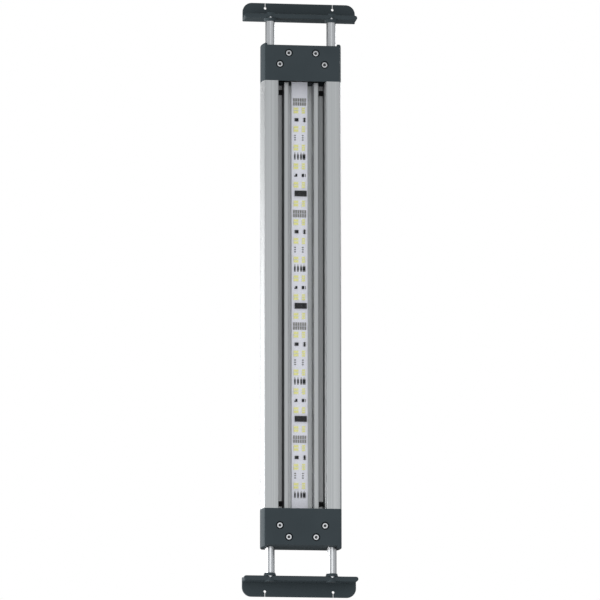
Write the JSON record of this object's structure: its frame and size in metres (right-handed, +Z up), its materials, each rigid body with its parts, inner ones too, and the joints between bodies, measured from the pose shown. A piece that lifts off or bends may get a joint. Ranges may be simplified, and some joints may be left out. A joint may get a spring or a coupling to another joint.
{
  "type": "led aquarium light",
  "caption": "Slim aluminium LED aquarium lamp with plastic end caps and two sliding end brackets that rest on the tank's rims.",
  "frame": {"origin": "middle of the LED-side face plane, half-way along the lamp and across it; this plane is the lowest level", "axes": "+X along the lamp towards the cap with the cord gland, +Y across it, +Z up when the lamp rests on a tank; the light shines towards -Z"},
  "size_m": [0.6328, 0.12, 0.0333],
  "materials": {
    "anodised_aluminium": "satin anodised, fine lengthwise drawing lines",
    "clear_acrylic": "clear, polished",
    "thermal_tape": "matt",
    "board_white": "white solder mask, satin",
    "led_phosphor": "clear silicone over yellow phosphor",
    "black_nylon": "matt black nylon",
    "cap_plastic": "fine-grained anthracite, satin",
    "frame_plastic": "matt moulded",
    "silicone_seal": "matt silicone",
    "acetal_bush": "natural acetal, satin",
    "screw_steel": "bright zinc-plated",
    "rod_steel": "polished lengthwise",
    "circuit_board_green": "green solder mask",
    "terminal_grey": "matt moulded",
    "wire_red": "PVC insulation"
  },
  "bodies": {
    "lamp": {"heatsink_profile": "anodised_aluminium", "led_cover": "clear_acrylic", "thermal_tape": "thermal_tape", "led_board_1": "board_white", "led_board_2": "board_white", "led_board_3": "board_white", "led_board_4": "board_white", "led_packages_1": "led_phosphor", "led_packages_2": "led_phosphor", "led_packages_3": "led_phosphor", "led_packages_4": "led_phosphor", "board_connectors": "black_nylon", "groove_plugs": "black_nylon", "end_cap_right": "cap_plastic", "end_cap_left": "cap_plastic", "guide_frame_right": "frame_plastic", "guide_frame_left": "frame_plastic", "end_seal_right": "silicone_seal", "end_seal_left": "silicone_seal", "guide_bushes_right": "acetal_bush", "guide_bushes_left": "acetal_bush", "cap_screws_right": "screw_steel", "cap_screws_left": "screw_steel", "frame_screws_right": "screw_steel", "frame_screws_left": "screw_steel", "terminal_board": "circuit_board_green", "terminal_block": "terminal_grey", "lead_wires": "wire_red", "cord_gland": "black_nylon", "gland_nut": "black_nylon"},
    "bracket_right": {"bracket_right_plate": "cap_plastic", "rod_right_front": "rod_steel", "rod_right_rear": "rod_steel", "rod_stops_right": "acetal_bush", "rod_screws_right": "screw_steel"},
    "bracket_left": {"bracket_left_plate": "cap_plastic", "rod_left_front": "rod_steel", "rod_left_rear": "rod_steel", "rod_stops_left": "acetal_bush", "rod_screws_left": "screw_steel"}
  },
  "joints": [
    {"name": "bracket_right_slide", "type": "slide", "parent": "lamp", "child": "bracket_right", "axis": [1, 0, 0], "range_m": [-0.0255, 0.07]},
    {"name": "bracket_left_slide", "type": "slide", "parent": "lamp", "child": "bracket_left", "axis": [-1, 0, 0], "range_m": [-0.0255, 0.07]}
  ]
}
